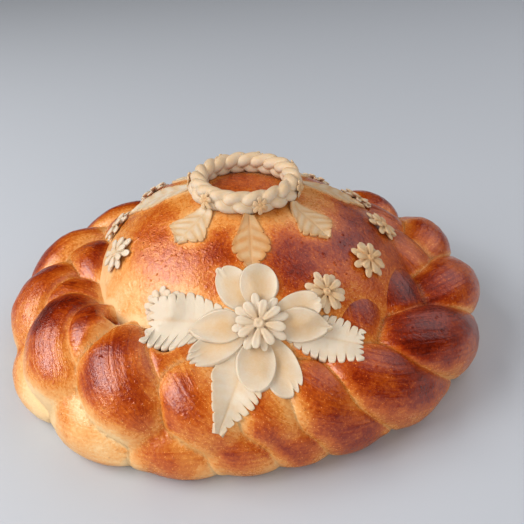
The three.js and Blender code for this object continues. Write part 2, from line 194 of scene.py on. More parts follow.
shadow_x, shadow_y = turned(FLOWER_SHADOW_AT[0], 0, FLOWER_SHADOW_AT[1])
store(
    dome,
    "bake_and_painted_light",
    DOME_BAKE
    # painted shadow that the flower casts on the dome
    + bell(np.hypot(x - shadow_x, y - shadow_y), *FLOWER_SHADOW)
    + ramp(reach, *CROWN_BROWNED)
    - bell(reach - HALO_REACH, *HALO_PALE)
    - ramp(reach, *SKIRT) * (SKIRT_PALE + nearness(round_angle, *SEAMS_PALE, SKIRT_PALER))
    + ramp(reach, *DOME_SIDE) * nearness(round_angle, *DOME_SIDE_BROWNED)
    + lumpy(places, DOME_PATCHES),
)


def colour(code):
    """Linear red, green, blue and alpha from a colour written as six hexadecimal digits."""
    channels = [int(code[i : i + 2], 16) / 255 for i in (0, 2, 4)]
    return [c / 12.92 if c < 0.04045 else ((c + 0.055) / 1.055) ** 2.4 for c in channels] + [1]


def feed(tree, node, inputs):
    """Feeds a node's inputs with plain values or with other nodes' outputs."""
    for name, value in inputs.items():
        if isinstance(value, bpy.types.NodeSocket):
            tree.links.new(value, node.inputs[name])
        else:
            node.inputs[name].default_value = value


def add_node(tree, kind, inputs, **settings):
    """Adds a shader node with its settings and inputs."""
    node = tree.nodes.new("ShaderNode" + kind)
    for name, value in settings.items():
        setattr(node, name, value)
    feed(tree, node, inputs)
    return node


def math_node(tree, operation, a, b):
    return add_node(tree, "Math", {0: a, 1: b}, operation=operation).outputs[0]


def add_up(tree, start, parts, about=0.0):
    """Adds textures to a start, each times its strength, less the value that they swing about."""
    total = start
    for texture, strength in parts:
        inputs = {0: texture, 1: strength, 2: -strength * about}
        term = add_node(tree, "Math", inputs, operation="MULTIPLY_ADD").outputs[0]
        total = math_node(tree, "ADD", total, term)
    return total


def map_range(tree, value, start, end, low=0.0, high=1.0, kind="LINEAR"):
    """Carries values from between start and end over to between low and high."""
    inputs = {"Value": value, 1: start, 2: end, 3: low, 4: high}
    return add_node(tree, "MapRange", inputs, interpolation_type=kind).outputs[0]


def noise_node(tree, vector, scale, detail, roughness=0.5, distortion=0.0):
    inputs = dict(Vector=vector, Scale=scale, Detail=detail, Roughness=roughness, Distortion=distortion)
    return add_node(tree, "TexNoise", inputs).outputs["Fac"]


def toned(tree, value, stops):
    """The colour for a value, from stops with a position and a colour code each."""
    node = add_node(tree, "ValToRGB", {"Fac": value})
    elements = node.color_ramp.elements
    while len(elements) < len(stops):
        elements.new(0.5)
    for element, (position, code) in zip(elements, stops):
        element.position = position
        element.color = colour(code)
    return node.outputs["Color"]


# How far the egg wash browned, from the pale torn dough in a seam to the darkest crest.
CRUST_TONES = (
    (0.0, "e8c592"),
    (0.2, "e4ab69"),
    (0.4, "d6893b"),
    (0.6, "ba5a15"),
    (0.8, "8e2e05"),
    (1.0, "5e1502"),
)

GLAZE_SOCKETS = dict(
    INPUT=dict(Bake="Float", Place="Vector", Grain="Vector"),
    OUTPUT=dict(Color="Color", Roughness="Float", Height="Float"),
)

glaze = bpy.data.node_groups.new("Egg-washed crust", "ShaderNodeTree")
for way, sockets in GLAZE_SOCKETS.items():
    for name, kind in sockets.items():
        glaze.interface.new_socket(name, in_out=way, socket_type="NodeSocket" + kind)
given = glaze.nodes.new("NodeGroupInput").outputs
made = glaze.nodes.new("NodeGroupOutput").inputs
place = given["Place"]
patches = noise_node(glaze, place, scale=70, detail=3)
mottling = noise_node(glaze, place, scale=600, detail=4, roughness=0.6)
streaks = noise_node(glaze, given["Grain"], scale=1, detail=3, roughness=0.6, distortion=0.8)
# Tiny pale dots in the crust's colour: painted glints of light on small bubbles.
glint_noise = noise_node(glaze, place, scale=1300, detail=1)
painted_glints = map_range(glaze, glint_noise, 0.66, 0.74, low=0.0, high=-0.25)
browning = ((patches, 0.5), (mottling, 0.45), (streaks, 0.3))
browned = math_node(glaze, "ADD", add_up(glaze, given["Bake"], browning, about=0.5), painted_glints)
glaze.links.new(toned(glaze, browned, CRUST_TONES), made["Color"])
cells = add_node(glaze, "TexVoronoi", {"Vector": place, "Scale": 330}, feature="SMOOTH_F1")
distance = cells.outputs["Distance"]
blisters = map_range(glaze, distance, 0.05, 0.3, low=1.0, high=0.0, kind="SMOOTHSTEP")
regions = noise_node(glaze, place, scale=150, detail=1)
sparse = map_range(glaze, regions, 0.52, 0.62, kind="SMOOTHSTEP")
blisters = math_node(glaze, "MULTIPLY", blisters, sparse)
pores = noise_node(glaze, place, scale=1500, detail=2)
bumps = ((pores, 0.16), (streaks, 0.42), (mottling, 0.45), (blisters, 0.5))
glaze.links.new(add_up(glaze, 0.0, bumps), made["Height"])
glaze.links.new(map_range(glaze, browned, 0.0, 0.6, low=0.42, high=0.2), made["Roughness"])


def new_material(name):
    material = bpy.data.materials.new(name)
    material.use_nodes = True
    tree = material.node_tree
    return material, tree, tree.nodes["Principled BSDF"]


def bumped(tree, height, strength, depth):
    """Normals of a surface that a height makes uneven, to a depth in millimetres."""
    inputs = {"Height": height, "Strength": strength, "Distance": depth * MM}
    return add_node(tree, "Bump", inputs).outputs["Normal"]


def crust_material(name, grain_of):
    """A glossy crust. grain_of gives the coordinates of its streaks from the material's nodes."""
    material, tree, shader = new_material(name)
    place = add_node(tree, "TexCoord", {}).outputs["Object"]
    # the browning, with painted light, sheen and shade among it
    bake_and_painted_light = add_node(tree, "Attribute", {}, attribute_name="bake_and_painted_light").outputs["Fac"]
    inputs = {"Bake": bake_and_painted_light, "Place": place, "Grain": grain_of(tree, place)}
    crust = add_node(tree, "Group", inputs, node_tree=glaze).outputs
    surface = {
        "Base Color": crust["Color"],
        "Roughness": crust["Roughness"],
        "Normal": bumped(tree, crust["Height"], strength=0.9, depth=0.8),
        "Specular IOR Level": 0.85,
    }
    feed(tree, shader, surface)
    return material


def dome_grain(tree, place):
    return add_node(tree, "Mapping", {"Vector": place, "Scale": (380, 200, 380)}).outputs["Vector"]


laid = []  # search trees of the pieces so far, which later pieces lie on


def settle(piece, node, material):
    """Finishes a piece that stands for a node of the part, and lets later pieces lie on it."""
    piece.data.materials.clear()
    piece.data.materials.append(material)
    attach(piece, "root")
    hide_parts(node)
    places = get_places(piece) / MM
    faces = [tuple(face.vertices) for face in piece.data.polygons]
    middle = (places.min(0) + places.max(0)) / 2
    span = np.linalg.norm(places - middle, axis=1).max()
    laid.append((BVHTree.FromPolygons(places.tolist(), faces), middle, span))


settle(dome, "dome", crust_material("dome_crust", dome_grain))


# Plait ring
# Three fat strands of the same dough, plaited and closed into a ring round the dome.
# They rose against each other, so the lobes are swollen, pale at the seams and brown on top.
# Here too, a change round an angle gives the angle, its width and its amount.

RING = dict(
    roll=0,  # how far the plait is turned about its own length
    centre=(0, -0.86),
    radius=104,
    oval=0.07,
    oval_angle=15,
    height=29,
    waves=16 / 3,
    start=42,
    sway=22.5,
    rise=10.5,
    bank=0.35,  # the inner side leans up against the dome
    sunk=((212, 32, 3.4), (350, 16, 0.9)),  # but sank here, by a share of that
    lead=(222, 40, 50),  # here the outer lobes rise so many degrees before they cross the middle
    thickness=18.5,
    thinned=0.2,  # how strongly the strands thin out where the lobes lie close together
    uneven=0.035,  # how much the strands' thickness varies
    uneven_length=2.2,  # over how many thicknesses
    swell=(228, 20, 0.16),  # one side rose higher in the oven
    rush=0.18,  # how much faster a strand crosses the middle than it turns at an edge
    spread=1.45,  # how much wider than high the lobes grew, pressed against each other
    neck=(222, 42, 1),  # here a strand narrows where it folds under at the outer edge
    neck_phase=78,
    neck_width=36,
    crowding=28,  # lobes lie closer together round one angle
    crowding_angle=280,
    crowding_width=46.6,
    drift=8,  # and slid along, in degrees, round another
    drift_angle=15,
    drift_width=60,
    core=10,
    melt=1,  # how far two strands have baked together at a seam
    twist=0.2,  # mesh lines follow the seams round the section
)
RING_STEPS = 896
RING_SIDES = 100
PATH_POINTS = 120  # along a strand, for each wave
SKIN_BLOCKS = 120  # parts that the skin is worked out in
FOOT_HEIGHT = 22  # below this the lobes spread on the tray and closed the gaps between them
FOOT_EDGE = 12  # over this distance outwards from the ring's middle
FOOT_FILL = range(-48, 49, 3)  # mesh rows on both sides that a gap is closed from
FOOT_FALL = 0.004  # and how fast a lobe's foot falls back there
ABOVE_TRAY = (1, 6)
CREASE = (1.2, 0.9)  # how wide and how deep the seams are drawn in
CRACK = (-72, -66), (-79, -87)  # a seam that tore open, from one place to another
CRACK_REACH = 6  # how far it tore to the sides
CRACK_DEPTH = (2, 6)  # how wide and how deep
GAPS = ((-70, -61.5, 6.5, 14), (-41, -91, 5, 9))  # holes beside the dome: x, y, radius and depth
UPPER_SIDE = (25, 38)  # crack and gaps are only there
PLAIT_LUMPS = ((16, 0.6, 30), (6, 0.25, 31))
LOBE_SKIN = (0, 5)  # from a seam to where the skin is lumpy and wrinkled
FOLD_SIZE = (18, 2.8, 1)  # lengthwise wrinkles of the stretched skin
FOLD_HEIGHT = 0.24
STREAKS_APART = 50  # so that no strand has another one's streaks
TORN_SIZE = 2.2  # torn dough in the seams
TORN = (2, 0, 0.5)

# How far the plait browned, as for the dome, with painted light, sheen and shade among it.
PLAIT_BAKE = -0.02
PLAIT_PATCHES = ((30, 0.16, 33),)
TOPS_BROWNED = (-0.35, 0.75, 0.28)  # with how far a place faces up
LOBES_BROWNED = (1.5, 17, 0.42)  # away from the seams
BAKED_EVENLY = (345, 75)  # round this angle the lobes browned down into their seams
EVENLY_BROWNED = (0.5, 8, 0.2)  # there, away from the seams
SEAMS_BROWNED = 0.11  # there, in the seams too
SEAMS_SPARED = (1.5, 0, 0.15)  # towards the seams
WASH_LINE = -12  # how far down the egg wash reached
WASH_SPARED = (220, 50, 34)  # round this angle it ended higher up
WASHED = (0, 36, 0.2)  # from there upwards
FEET = (42, 14)
FEET_PALE = (230, 18, 0.4)
LOW_SIDE = (45, 15)
LOW_BROWNED = (270, 36, 0.38)
CRESTS = (44, 58)
CRESTS_BROWNED = (207, 28, 0.3)
LOBES_PAINTED_LIGHTER = ((270, 14, 0.24), (170, 30, 0.17), (10, 28, 0.12))  # whole lobes painted lighter: painted light on the front lobe, painted sheen on the lobes behind at the left and right
BAKED_MORE = (326, 20, 0.12)  # whole lobes that browned more
CRACK_PALE = (6, 1, 0.3)
GAP_PALE = (0.05, 1.5, 0.25)  # with its depth
GAP_PAINTED_SHADE = (4, 0.11)  # painted shade deep in the holes: the depth it starts from, and how much darker for each millimetre


def crowd(plait, away):
    """Where in degrees round the ring a place along the plait lies, and how wide its lobes are."""
    spread = 1 + plait["crowding"] / 180
    squeeze = np.tanh(away / plait["crowding_width"])
    degrees = plait["crowding_angle"] + spread * away - plait["crowding"] * squeeze
    beside = angle_between(degrees, plait["drift_angle"])
    drift = plait["drift"] * np.exp(-((beside / plait["drift_width"]) ** 4))
    return degrees + drift, spread - plait["crowding"] / plait["crowding_width"] * (1 - squeeze**2)


def plait_reach(plait, degrees):
    return plait["radius"] * (1 + plait["oval"] * np.cos(np.radians(2 * (degrees - plait["oval_angle"]))))


def ring_places(plait, degrees, reach, height):
    """Places round the middle of a ring."""
    turn = np.radians(degrees)
    x, y = plait["centre"]
    heights = np.broadcast_to(height, turn.shape)
    return np.stack((x + reach * np.cos(turn), y + reach * np.sin(turn), heights), axis=1)


def strand_paths(plait):
    """For each strand the points of its middle, its radius there and how far along they are."""
    away = np.linspace(-180, 180, round(plait["waves"] * PATH_POINTS), endpoint=False)
    degrees, pitch = crowd(plait, away)
    swell = nearness(degrees, *plait["swell"])
    sunk = sum(nearness(degrees, *zone) for zone in plait["sunk"])
    lead = np.radians(nearness(degrees, *plait["lead"]))
    folded = nearness(degrees, *plait["neck"])
    waves = plait["waves"] * (plait["crowding_angle"] + away) + plait["start"]
    paths = []
    for strand in range(3):
        phase = np.radians(waves + 120 * strand)
        eased = phase + plait["rush"] * np.sin(2 * phase)
        side = plait["sway"] * np.sin(eased)
        bank = plait["bank"] * np.where(side < 0, 1 - sunk, 1)
        lift = plait["rise"] * np.sin(2 * eased + lead) - bank * side + plait["thickness"] * swell
        out, up = turned(side, lift, plait["roll"])
        reach = plait_reach(plait, degrees) + out
        from_neck = np.abs(angle_between(np.degrees(phase), plait["neck_phase"]))
        neck = folded * (1 - np.sqrt(np.minimum(from_neck / plait["neck_width"], 1)))
        middles = ring_places(plait, degrees, reach, plait["height"] + up)
        varied = plait["uneven"] * lumps(middles, plait["uneven_length"] * plait["thickness"], 20 + strand)
        radii = plait["thickness"] * pitch ** plait["thinned"] * (1 + swell) * (1 + varied) * (1 - neck)
        steps = np.linalg.norm(np.roll(middles, -1, axis=0) - middles, axis=1)
        paths.append((middles, radii, np.cumsum(steps)))
    return paths


def soft_max(a, b, melt):
    """The larger of two lengths, rounded off where they are nearly equal."""
    share = np.maximum(melt - np.abs(a - b), 0) / melt
    return np.maximum(a, b) + share**2 * melt / 4


def swell_to_strands(plait, tilt, away):
    """Points of the plait's skin, pushed out from its core to the strands, with the distance to
    the nearest seam and the place along and round the strand that each point lies on."""
    degrees, _ = crowd(plait, away)
    turn = np.radians(degrees)
    origins = ring_places(plait, degrees, plait_reach(plait, degrees), plait["height"])
    rays = np.stack((np.cos(tilt) * np.cos(turn), np.cos(tilt) * np.sin(turn), np.sin(tilt)), axis=1)
    along_ring = np.stack((-np.sin(turn), np.cos(turn), np.zeros_like(turn)), axis=1)
    reaches = np.zeros((3, len(turn)))
    grain = np.zeros((3, len(turn), 3))
    near = 2 * plait["sway"]
    strands = strand_paths(plait)
    for block in np.array_split(np.argsort(degrees), SKIN_BLOCKS):
        heart = origins[block].mean(0)
        span = np.linalg.norm(origins[block] - heart, axis=1).max()
        for strand, (middles, radii, along) in enumerate(strands):
            close = np.linalg.norm(middles - heart, axis=1) < near + span
            towards = middles[close][None] - origins[block][:, None]
            distance = np.einsum("ijk,ijk->ij", towards, towards)
            forward = np.einsum("ijk,ik->ij", towards, rays[block])
            beside = np.einsum("ijk,ik->ij", towards, along_ring[block])
            narrowed = (1 - plait["spread"] ** -2) * beside**2
            room = radii[close] ** 2 - distance + narrowed + forward**2
            met = (room > 0) & (distance < near**2)
            exits = np.where(met, forward + np.sqrt(np.maximum(room, 0)), 0)
            best = exits.argmax(1)
            reaches[strand, block] = exits[np.arange(len(block)), best]
            tangents = np.roll(middles, -1, axis=0) - np.roll(middles, 1, axis=0)
            tangents = (tangents / np.linalg.norm(tangents, axis=1)[:, None])[close][best]
            sideways = np.cross(tangents, (0, 0, 1))
            out = origins[block] + rays[block] * reaches[strand, block][:, None] - middles[close][best]
            around = np.arctan2(np.einsum("ij,ij->i", out, sideways), out[:, 2])
            grain[strand, block, 0] = along[close][best]
            grain[strand, block, 1] = around * radii[close][best]
            grain[strand, block, 2] = STREAKS_APART * strand
    skin = np.full(len(turn), float(plait["core"]))
    for strand in range(3):
        skin = soft_max(skin, reaches[strand], plait["melt"])
    ranked = np.sort(reaches, axis=0)
    winner = reaches.argmax(0)
    return origins + rays * skin[:, None], ranked[2] - ranked[1], grain[winner, np.arange(len(turn))]


def apply_modifier(piece, kind, **settings):
    modifier = piece.modifiers.new(kind.title(), kind)
    for name, value in settings.items():
        setattr(modifier, name, value)
    bpy.ops.object.modifier_apply(modifier=modifier.name)


def plaited_ring(name, plait, steps, sides):
    """A thin ring spun from a circle and pushed out to the strands of a plait."""
    bpy.ops.mesh.primitive_circle_add(vertices=sides, radius=plait["core"])
    piece = new_piece(name)
    x, y, _ = get_places(piece).T
    set_places(piece, np.stack((plait["radius"] + x, np.zeros(sides), y), axis=1))
    apply_modifier(piece, "SCREW", angle=2 * math.pi, axis="Z", steps=steps, render_steps=steps)
    bpy.ops.object.mode_set(mode="EDIT")
    bpy.ops.mesh.select_all(action="SELECT")
    bpy.ops.mesh.normals_make_consistent(inside=False)
    bpy.ops.object.mode_set(mode="OBJECT")
    torus = get_places(piece)
    tilt = np.arctan2(torus[:, 2], np.hypot(torus[:, 0], torus[:, 1]) - plait["radius"])
    from_top = np.degrees(np.arccos(np.sin(tilt)))
    away = angle_between(angle_of(torus) + plait["twist"] * from_top, 0)
    return piece, *swell_to_strands(plait, tilt, away)


def spread_foot(places, steps, sides):
    """Lobes that spread on the tray and closed most of the gaps between them."""
    reach = np.hypot(places[:, 0], places[:, 1])
    rows = reach.reshape(steps, sides)
    filled = np.max([np.roll(rows, step, axis=0) - FOOT_FALL * step**2 for step in FOOT_FILL], axis=0)
    low = ramp(places[:, 2], FOOT_HEIGHT, 0)
    outer = ramp(reach, RING["radius"], RING["radius"] + FOOT_EDGE)
    places[:, :2] *= (1 + low * outer * (filled.ravel() / reach - 1))[:, None]


def gap_depths(places):
    """How deep the holes between dome and plait draw in each place."""
    x, y = places[:, 0], places[:, 1]
    return sum(bell(np.hypot(x - gap_x, y - gap_y), *size) for gap_x, gap_y, *size in GAPS)


def from_line(places, start, end):
    """How far places lie, seen from above, from a line between two places."""
    start, end = np.array(start), np.array(end)
    share = np.clip((places[:, :2] - start) @ (end - start) / np.sum((end - start) ** 2), 0, 1)
    return np.linalg.norm(places[:, :2] - start - share[:, None] * (end - start), axis=1)


def draw_in(places, depths):
    """Moves places of the plait's skin towards its core."""
    degrees = angle_of(places[:, :2] - RING["centre"])
    cores = ring_places(RING, degrees, plait_reach(RING, degrees), RING["height"])
    inward = cores - places
    room = np.linalg.norm(inward, axis=1)
    places += inward * (np.minimum(depths, room - RING["core"]) / room)[:, None]


plait, places, seam, grain = plaited_ring("plaited_ring", RING, RING_STEPS, RING_SIDES)
places[:, 2] = np.maximum(places[:, 2], 0)
spread_foot(places, RING_STEPS, RING_SIDES)
upper_side = ramp(places[:, 2], *UPPER_SIDE)
in_gaps = upper_side * gap_depths(places)
cracked = upper_side * bell(from_line(places, *CRACK), CRACK_REACH)
depths = bell(seam, *CREASE) * ramp(places[:, 2], *ABOVE_TRAY) + cracked * bell(seam, *CRACK_DEPTH)
draw_in(places, depths + in_gaps)
set_places(plait, places * MM)
normals = get_normals(plait)
lobe_skin = lumpy(places, PLAIT_LUMPS) + FOLD_HEIGHT * lumps(grain / FOLD_SIZE, 1, 34)
torn = lumps(places, TORN_SIZE, 35) * ramp(seam, *TORN)
relief = (lobe_skin * ramp(seam, *LOBE_SKIN) + torn) * ramp(places[:, 2], *ABOVE_TRAY)
places += normals * relief[:, None]
places[:, 2] = np.maximum(places[:, 2], 0)
set_places(plait, places * MM)
bpy.ops.object.shade_smooth()

round_angle = angle_of(places)
height = places[:, 2]
evenly = nearness(round_angle, *BAKED_EVENLY)
wash_line = WASH_LINE + nearness(round_angle, *WASH_SPARED)
shade_from, painted_shade_per_mm = GAP_PAINTED_SHADE
store(
    plait,
    "bake_and_painted_light",
    PLAIT_BAKE
    + ramp(get_normals(plait)[:, 2], *TOPS_BROWNED)
    + (1 - evenly) * ramp(seam, *LOBES_BROWNED)
    + evenly * (SEAMS_BROWNED + ramp(seam, *EVENLY_BROWNED))
    - ramp(seam, *SEAMS_SPARED)
    + ramp(height - wash_line, *WASHED)
    - ramp(height, *FEET) * nearness(round_angle, *FEET_PALE)
    + ramp(height, *LOW_SIDE) * nearness(round_angle, *LOW_BROWNED)
    + ramp(height, *CRESTS) * nearness(round_angle, *CRESTS_BROWNED)
    # lobes painted lighter, standing in for light on the front lobe and sheen on the lobes behind
    - sum(nearness(round_angle, *zone) for zone in LOBES_PAINTED_LIGHTER)
    + nearness(round_angle, *BAKED_MORE)
    - cracked * ramp(seam, *CRACK_PALE)
    - ramp(in_gaps, *GAP_PALE)
    # painted shade deep in the holes between dome and plait
    + painted_shade_per_mm * np.maximum(in_gaps - shade_from, 0)
    + lumpy(places, PLAIT_PATCHES),
)
attribute = plait.data.attributes.new("grain", "FLOAT_VECTOR", "POINT")
attribute.data.foreach_set("vector", grain.astype(np.float32).ravel())


def strand_grain(tree, place):
    """Streaks run along the strands, where the skin stretched."""
    grain = add_node(tree, "Attribute", {}, attribute_name="grain").outputs["Vector"]
    return add_node(tree, "Mapping", {"Vector": grain, "Scale": (0.06, 0.5, 1)}).outputs["Vector"]


settle(plait, "plait_ring", crust_material("plait_crust", strand_grain))


SPARED = 0.05  # browning that is taken back where dome and plait meet
SPARED_MORE = 0.3  # and besides, where the seams stayed pale
SPARED_WIDTH = 7


def spare_crust(piece, neighbour, amount, width):
    """Takes back some of a piece's browning close to a neighbour, where the heat didn't reach."""
    tree, middle, span = neighbour
    attribute = piece.data.attributes["bake_and_painted_light"]
    bake_and_painted_light = np.empty(len(attribute.data), dtype=np.float32)
    attribute.data.foreach_get("value", bake_and_painted_light)
    places = get_places(piece) / MM
    amounts = np.broadcast_to(amount, len(places))
    for i in np.flatnonzero(np.linalg.norm(places - middle, axis=1) < span + width):
        gap = tree.find_nearest(places[i], width)[3]
        if gap is not None:
            bake_and_painted_light[i] -= amounts[i] * (1 - gap / width) ** 2
    attribute.data.foreach_set("value", bake_and_painted_light)


dome_laid, plait_laid = laid
for piece, neighbour in ((plait, dome_laid), (dome, plait_laid)):
    amount = SPARED + nearness(angle_of(get_places(piece)), *SEAMS_PALE, SPARED_MORE)
    spare_crust(piece, neighbour, amount, SPARED_WIDTH)


# Crown wreath
# A thin plait of pale, unglazed dough laid in a ring on the crown, where a salt dish can stand.
# It only caught a little colour on its upper side.

NOWHERE = (0, 1, 0)
WREATH = dict(
    RING,
    centre=tuple(DOME_CENTRE),
    roll=-75,
    radius=28.6,
    oval=0,
    height=104.9,
    waves=6,
    start=0,
    sway=3.4,
    rise=2.2,
    bank=0,
    thickness=3.2,
    uneven=0.06,
    spread=1.25,
    lead=NOWHERE,
    sunk=(),
    drift=0,
    swell=NOWHERE,
    neck=NOWHERE,
    crowding=0,
    core=2,
    melt=0.35,
)
WREATH_STEPS = 480
WREATH_SIDES = 56
WREATH_TOAST = 0.02  # how far it toasted, from 0 to 1
WREATH_TOPS_TOASTED = (-0.2, 0.9, 0.2)  # with how far a place faces up
WREATH_STRANDS = (0.2, 2)  # away from the seams
# The wreath's seams are coloured darker: painted shade in the creases between its strands.
WREATH_SEAMS_SHADED = (0.9, 0, 0.35)

wreath, places, seam, _ = plaited_ring("crown_wreath_plait", WREATH, WREATH_STEPS, WREATH_SIDES)
x, y = (places[:, :2] - DOME_CENTRE).T
crown = dome_places(x, y, dome_height(np.hypot(x, y)))
places[:, 2] = np.maximum(places[:, 2], crown[:, 2] + CLEARANCE)
set_places(wreath, places * MM)
bpy.ops.object.shade_smooth()
tops = ramp(get_normals(wreath)[:, 2], *WREATH_TOPS_TOASTED) * ramp(seam, *WREATH_STRANDS)
# toasted tops, and painted shade in the seams
store(wreath, "toast", WREATH_TOAST + tops + ramp(seam, *WREATH_SEAMS_SHADED))

# How far the pale dough toasted, from floury cream to golden edges.
DOUGH_TONES = (
    (0.0, "d2c3ae"),
    (0.3, "ccad86"),
    (0.6, "c4915c"),
    (1.0, "9c6032"),
)

# It is matt and a little translucent.
pale_dough, tree, shader = new_material("pale_dough")
place = add_node(tree, "TexCoord", {}).outputs["Object"]
toast = add_node(tree, "Attribute", {}, attribute_name="toast").outputs["Fac"]
patches = noise_node(tree, place, scale=140, detail=3)
grains = noise_node(tree, place, scale=900, detail=3, roughness=0.6)
toasted = add_up(tree, toast, ((patches, 0.3), (grains, 0.16)), about=0.5)
bumps = add_up(tree, 0.0, ((patches, 0.7), (grains, 0.4)))
surface = {
    "Base Color": toned(tree, toasted, DOUGH_TONES),
    "Normal": bumped(tree, bumps, strength=0.6, depth=0.4),
    "Roughness": 0.55,
    "Specular IOR Level": 0.35,
    "Subsurface Weight": 0.12,
    "Subsurface Radius": (0.004, 0.002, 0.001),
    "Subsurface Scale": 1,
}
feed(tree, shader, surface)


def settle_dough(piece, node):
    settle(piece, node, pale_dough)


settle_dough(wreath, "crown_wreath")


# Crown leaves
# Rolled dough cut to leaves and laid round the wreath, points outwards.
# A knife marked the midrib and side veins and nicked the edges.

CROWN_LEAF_ANGLES = (170, 229, 272, 322.5, 21, 58, 98, 136)
CROWN_LEAF_STARTS = (34, 33, 31.8, 31.5, 36.5, 34, 34, 34)  # from the middle of the crown
CROWN_LEAF_LENGTHS = (46, 27, 37, 29, 45, 38, 38, 36)
CROWN_LEAF_WIDTHS = (26, 27, 22, 27, 25, 24, 24, 24)
CROWN_LEAF_TURNS = (0, 0, 0, -7, -12, 0, 0, 0)  # from pointing straight down the slope
CROWN_LEAF_TOASTS = (0.03, 0.16, 0.4, 0.25, 0.18, 0.05, 0.15, 0.05)
CROWN_LEAF_OUTLINE = dict(base=0.25, widest=0.42, tip=0.05, fall=1.4)  # as leaf_spread explains
CROWN_LEAF_THICKNESS = 1.5
LEAF_COLUMNS = 20  # of squares across a leaf
COLUMNS_CLOSER = 0.3  # at the midrib
NOTCH_COLUMNS = 4  # from one cut in a leaf's end to the next
SLIT = 0.06  # share of a tooth that a cut takes up on either side
TOOTH_ROWS = (0, SLIT, 0.37, 0.63, 1 - SLIT)
CUT_VARIED = 0.4  # how much the cuts' depths vary
UNCUT = 0.3  # share of half the width that no cut goes into
CUT_PITCH = 0.02  # how far columns that end in a cut stay apart
LEAN_CURVE = 1.3  # how the cuts' slant grows towards the edge
LEAN_FROM = (0, 0.15)  # where it starts along the leaf
LEAN_LESS = 0.7  # and how much less it is at the tip
END_CUT_LENGTH = 1.1  # how far back a cut in the end is felt, in teeth
TEETH_VARIED = 0.1  # how much the teeth's ends vary
MIDRIB_WIDTH = 0.08  # share of half the leaf's width
MIDRIB_DEPTH = 0.3
VEINS_FROM = (0.05, 0.2)  # where the veins start, as shares of half the width
VEINS_TO = (0.95, 0.75)  # and end
CUPPED = 0.9  # how far the edges stand up
CUP_CURVE = 1.5  # how steeply
CUP_BASE = 0.4  # and how much of it at the base
EDGE = (0.6, 1)
EDGE_TOASTED = 1.1  # times how deep the veins are marked
# Darker along the pressed veins and midrib: partly toast, partly painted shade in the grooves.
VEINS_TOAST_AND_SHADE = 0.8
MIDRIB_TOAST_AND_SHADE = 0.15


def spot_facing(point, degrees, rise):
    """A spot that faces out at an angle and up by a rise: its point, and the directions across it,
    up its slope and out of it."""
    out = np.array((*turned(1, 0, degrees), 0))
    normal = out * math.cos(rise) + np.array((0, 0, math.sin(rise)))
    across = np.cross((0, 0, 1), out)
    return np.asarray(point), np.array((across, np.cross(normal, across), normal))


def spot_on_dome(reach, degrees):
    slope = dome_height(reach + 0.5) - dome_height(reach - 0.5)
    point = dome_places(*turned(reach, 0, degrees), dome_height(reach))
    return spot_facing(point, degrees, math.atan2(1, -slope))


def mean_of_neighbours(grid):
    padded = np.pad(grid, 1, mode="edge")
    return (padded[:-2, 1:-1] + padded[2:, 1:-1] + padded[1:-1, :-2] + padded[1:-1, 2:]) / 4


DRAPE_PITCH = 0.8  # how closely the surface under a piece is felt out
DRAPE_MARGIN = 2  # how far past its edges
DRAPE_FROM = 60  # and from how high above it
DRAPE_PASSES = 3  # passes that smooth what was felt
DRAPE_SINK = 0.15  # how far each of them may sink into it
CUT_CREASE = 0.55  # how crisp cut edges stay


def lay(flat, spot, bridge):
    """Bends flat places onto what lies under a spot. Dough is stiff and bridges hollows, more of
    them with more passes."""
    point, axes = spot
    low = flat[:, :2].min(0) - DRAPE_MARGIN
    counts = np.ceil((flat[:, :2].max(0) + DRAPE_MARGIN - low) / DRAPE_PITCH).astype(int) + 1
    span = np.linalg.norm(flat[:, :2], axis=1).max() + 2 * DRAPE_MARGIN
    near = [tree for tree, middle, size in laid if np.linalg.norm(middle - point) < size + span]
    down = Vector(-axes[2])
    heights = np.full(counts, -np.inf)
    for i, j in np.ndindex(*counts):
        place = low + DRAPE_PITCH * np.array((i, j))
        start = Vector(point + place @ axes[:2] + DRAPE_FROM * axes[2])
        for tree in near:
            distance = tree.ray_cast(start, down)[3]
            if distance is not None:
                heights[i, j] = max(heights[i, j], DRAPE_FROM - distance)
    heights[np.isinf(heights)] = heights[np.isfinite(heights)].min()
    for _ in range(bridge):
        heights = np.maximum(heights, mean_of_neighbours(heights))
    for _ in range(DRAPE_PASSES):
        heights = np.maximum(mean_of_neighbours(heights), heights - DRAPE_SINK)
    step = (flat[:, :2] - low) / DRAPE_PITCH
    cell = np.minimum(step.astype(int), counts - 2)
    share = step - cell
    i, j = cell.T
    floor = (heights[i, j] * (1 - share[:, 0]) + heights[i + 1, j] * share[:, 0]) * (1 - share[:, 1])
    floor += (heights[i, j + 1] * (1 - share[:, 0]) + heights[i + 1, j + 1] * share[:, 0]) * share[:, 1]
    return point + flat[:, :2] @ axes[:2] + (flat[:, 2] + floor + CLEARANCE)[:, None] * axes[2]


def thicken(piece, thickness):
    """Gives a laid sheet its thickness and softens its cut edges."""
    crisp = dict(edge_crease_inner=CUT_CREASE, edge_crease_outer=CUT_CREASE)
    apply_modifier(piece, "SOLIDIFY", thickness=thickness * MM, offset=1, use_even_offset=False, **crisp)
    apply_modifier(piece, "SUBSURF", levels=1, render_levels=1)
    bpy.ops.object.shade_smooth()


def grid_sheet(name, columns, rows):
    """A flat sheet of squares, with each vertex's share of the way across and along."""
    bpy.ops.mesh.primitive_grid_add(x_subdivisions=columns, y_subdivisions=rows, size=2)
    piece = new_piece(name)
    square = get_places(piece)
    return piece, square[:, 0], (square[:, 1] + 1) / 2


def leaf_spread(t, width, base, widest, tip, fall):
    """Half a leaf's width along it. base and tip are the shares of the width at its ends, widest is
    the share of its length where it is widest, and a larger fall keeps it wide for longer."""
    widening = base + (1 - base) * np.sin(np.pi / 2 * np.minimum(t / widest, 1))
    past = np.maximum(t - widest, 0) / (1 - widest)
    return width / 2 * (widening - (1 - tip) * past**fall)


